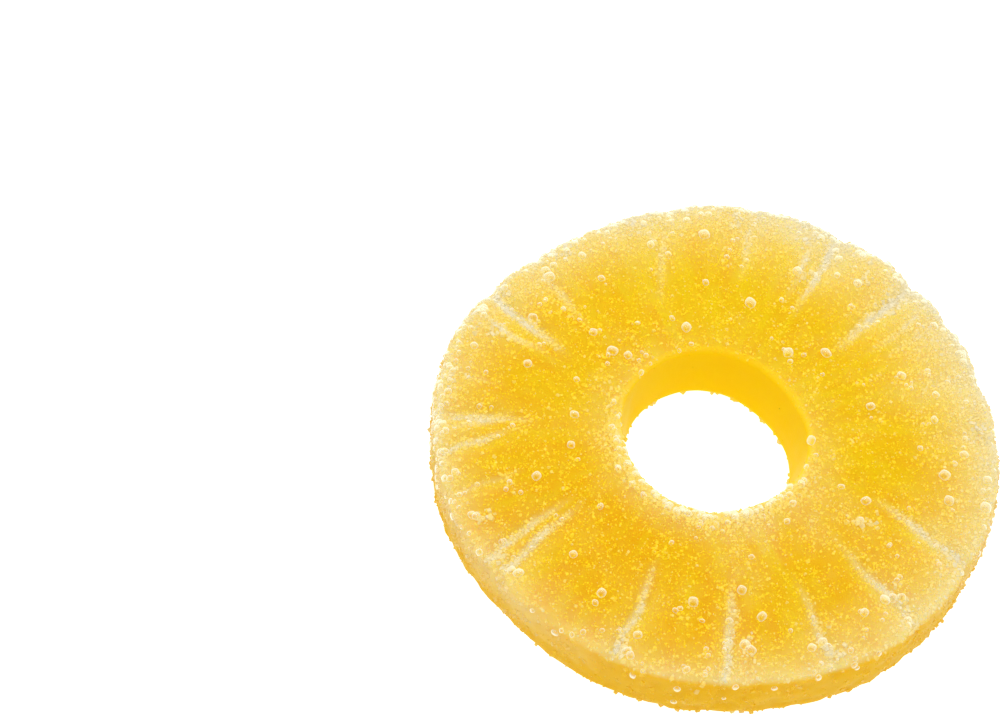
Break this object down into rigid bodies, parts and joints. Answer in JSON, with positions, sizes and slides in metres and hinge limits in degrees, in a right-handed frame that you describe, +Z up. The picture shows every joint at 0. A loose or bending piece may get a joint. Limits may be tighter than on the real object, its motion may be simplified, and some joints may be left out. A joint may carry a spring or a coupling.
{
  "type": "candied pineapple ring",
  "caption": "Flat round slice of candied pineapple with its core cut out, segment seams running in from a scalloped rim, and a coat of sugar crystals.",
  "frame": {"origin": "middle of the ring's box, on the surface it rests on", "axes": "+Z up through the hole; the ring lies in the XY plane, and -Y is the side nearest the viewer of the picture"},
  "size_m": [0.0654, 0.0652, 0.0081],
  "materials": {
    "flesh": "translucent golden candied fruit flesh with a soft gloss, paler towards the rim and the lip of the hole",
    "sugar": "clear to whitish sugar grains, fine grit with larger rounded crystals among it"
  },
  "bodies": {
    "root": {"pineapple_ring": "flesh"}
  },
  "joints": []
}
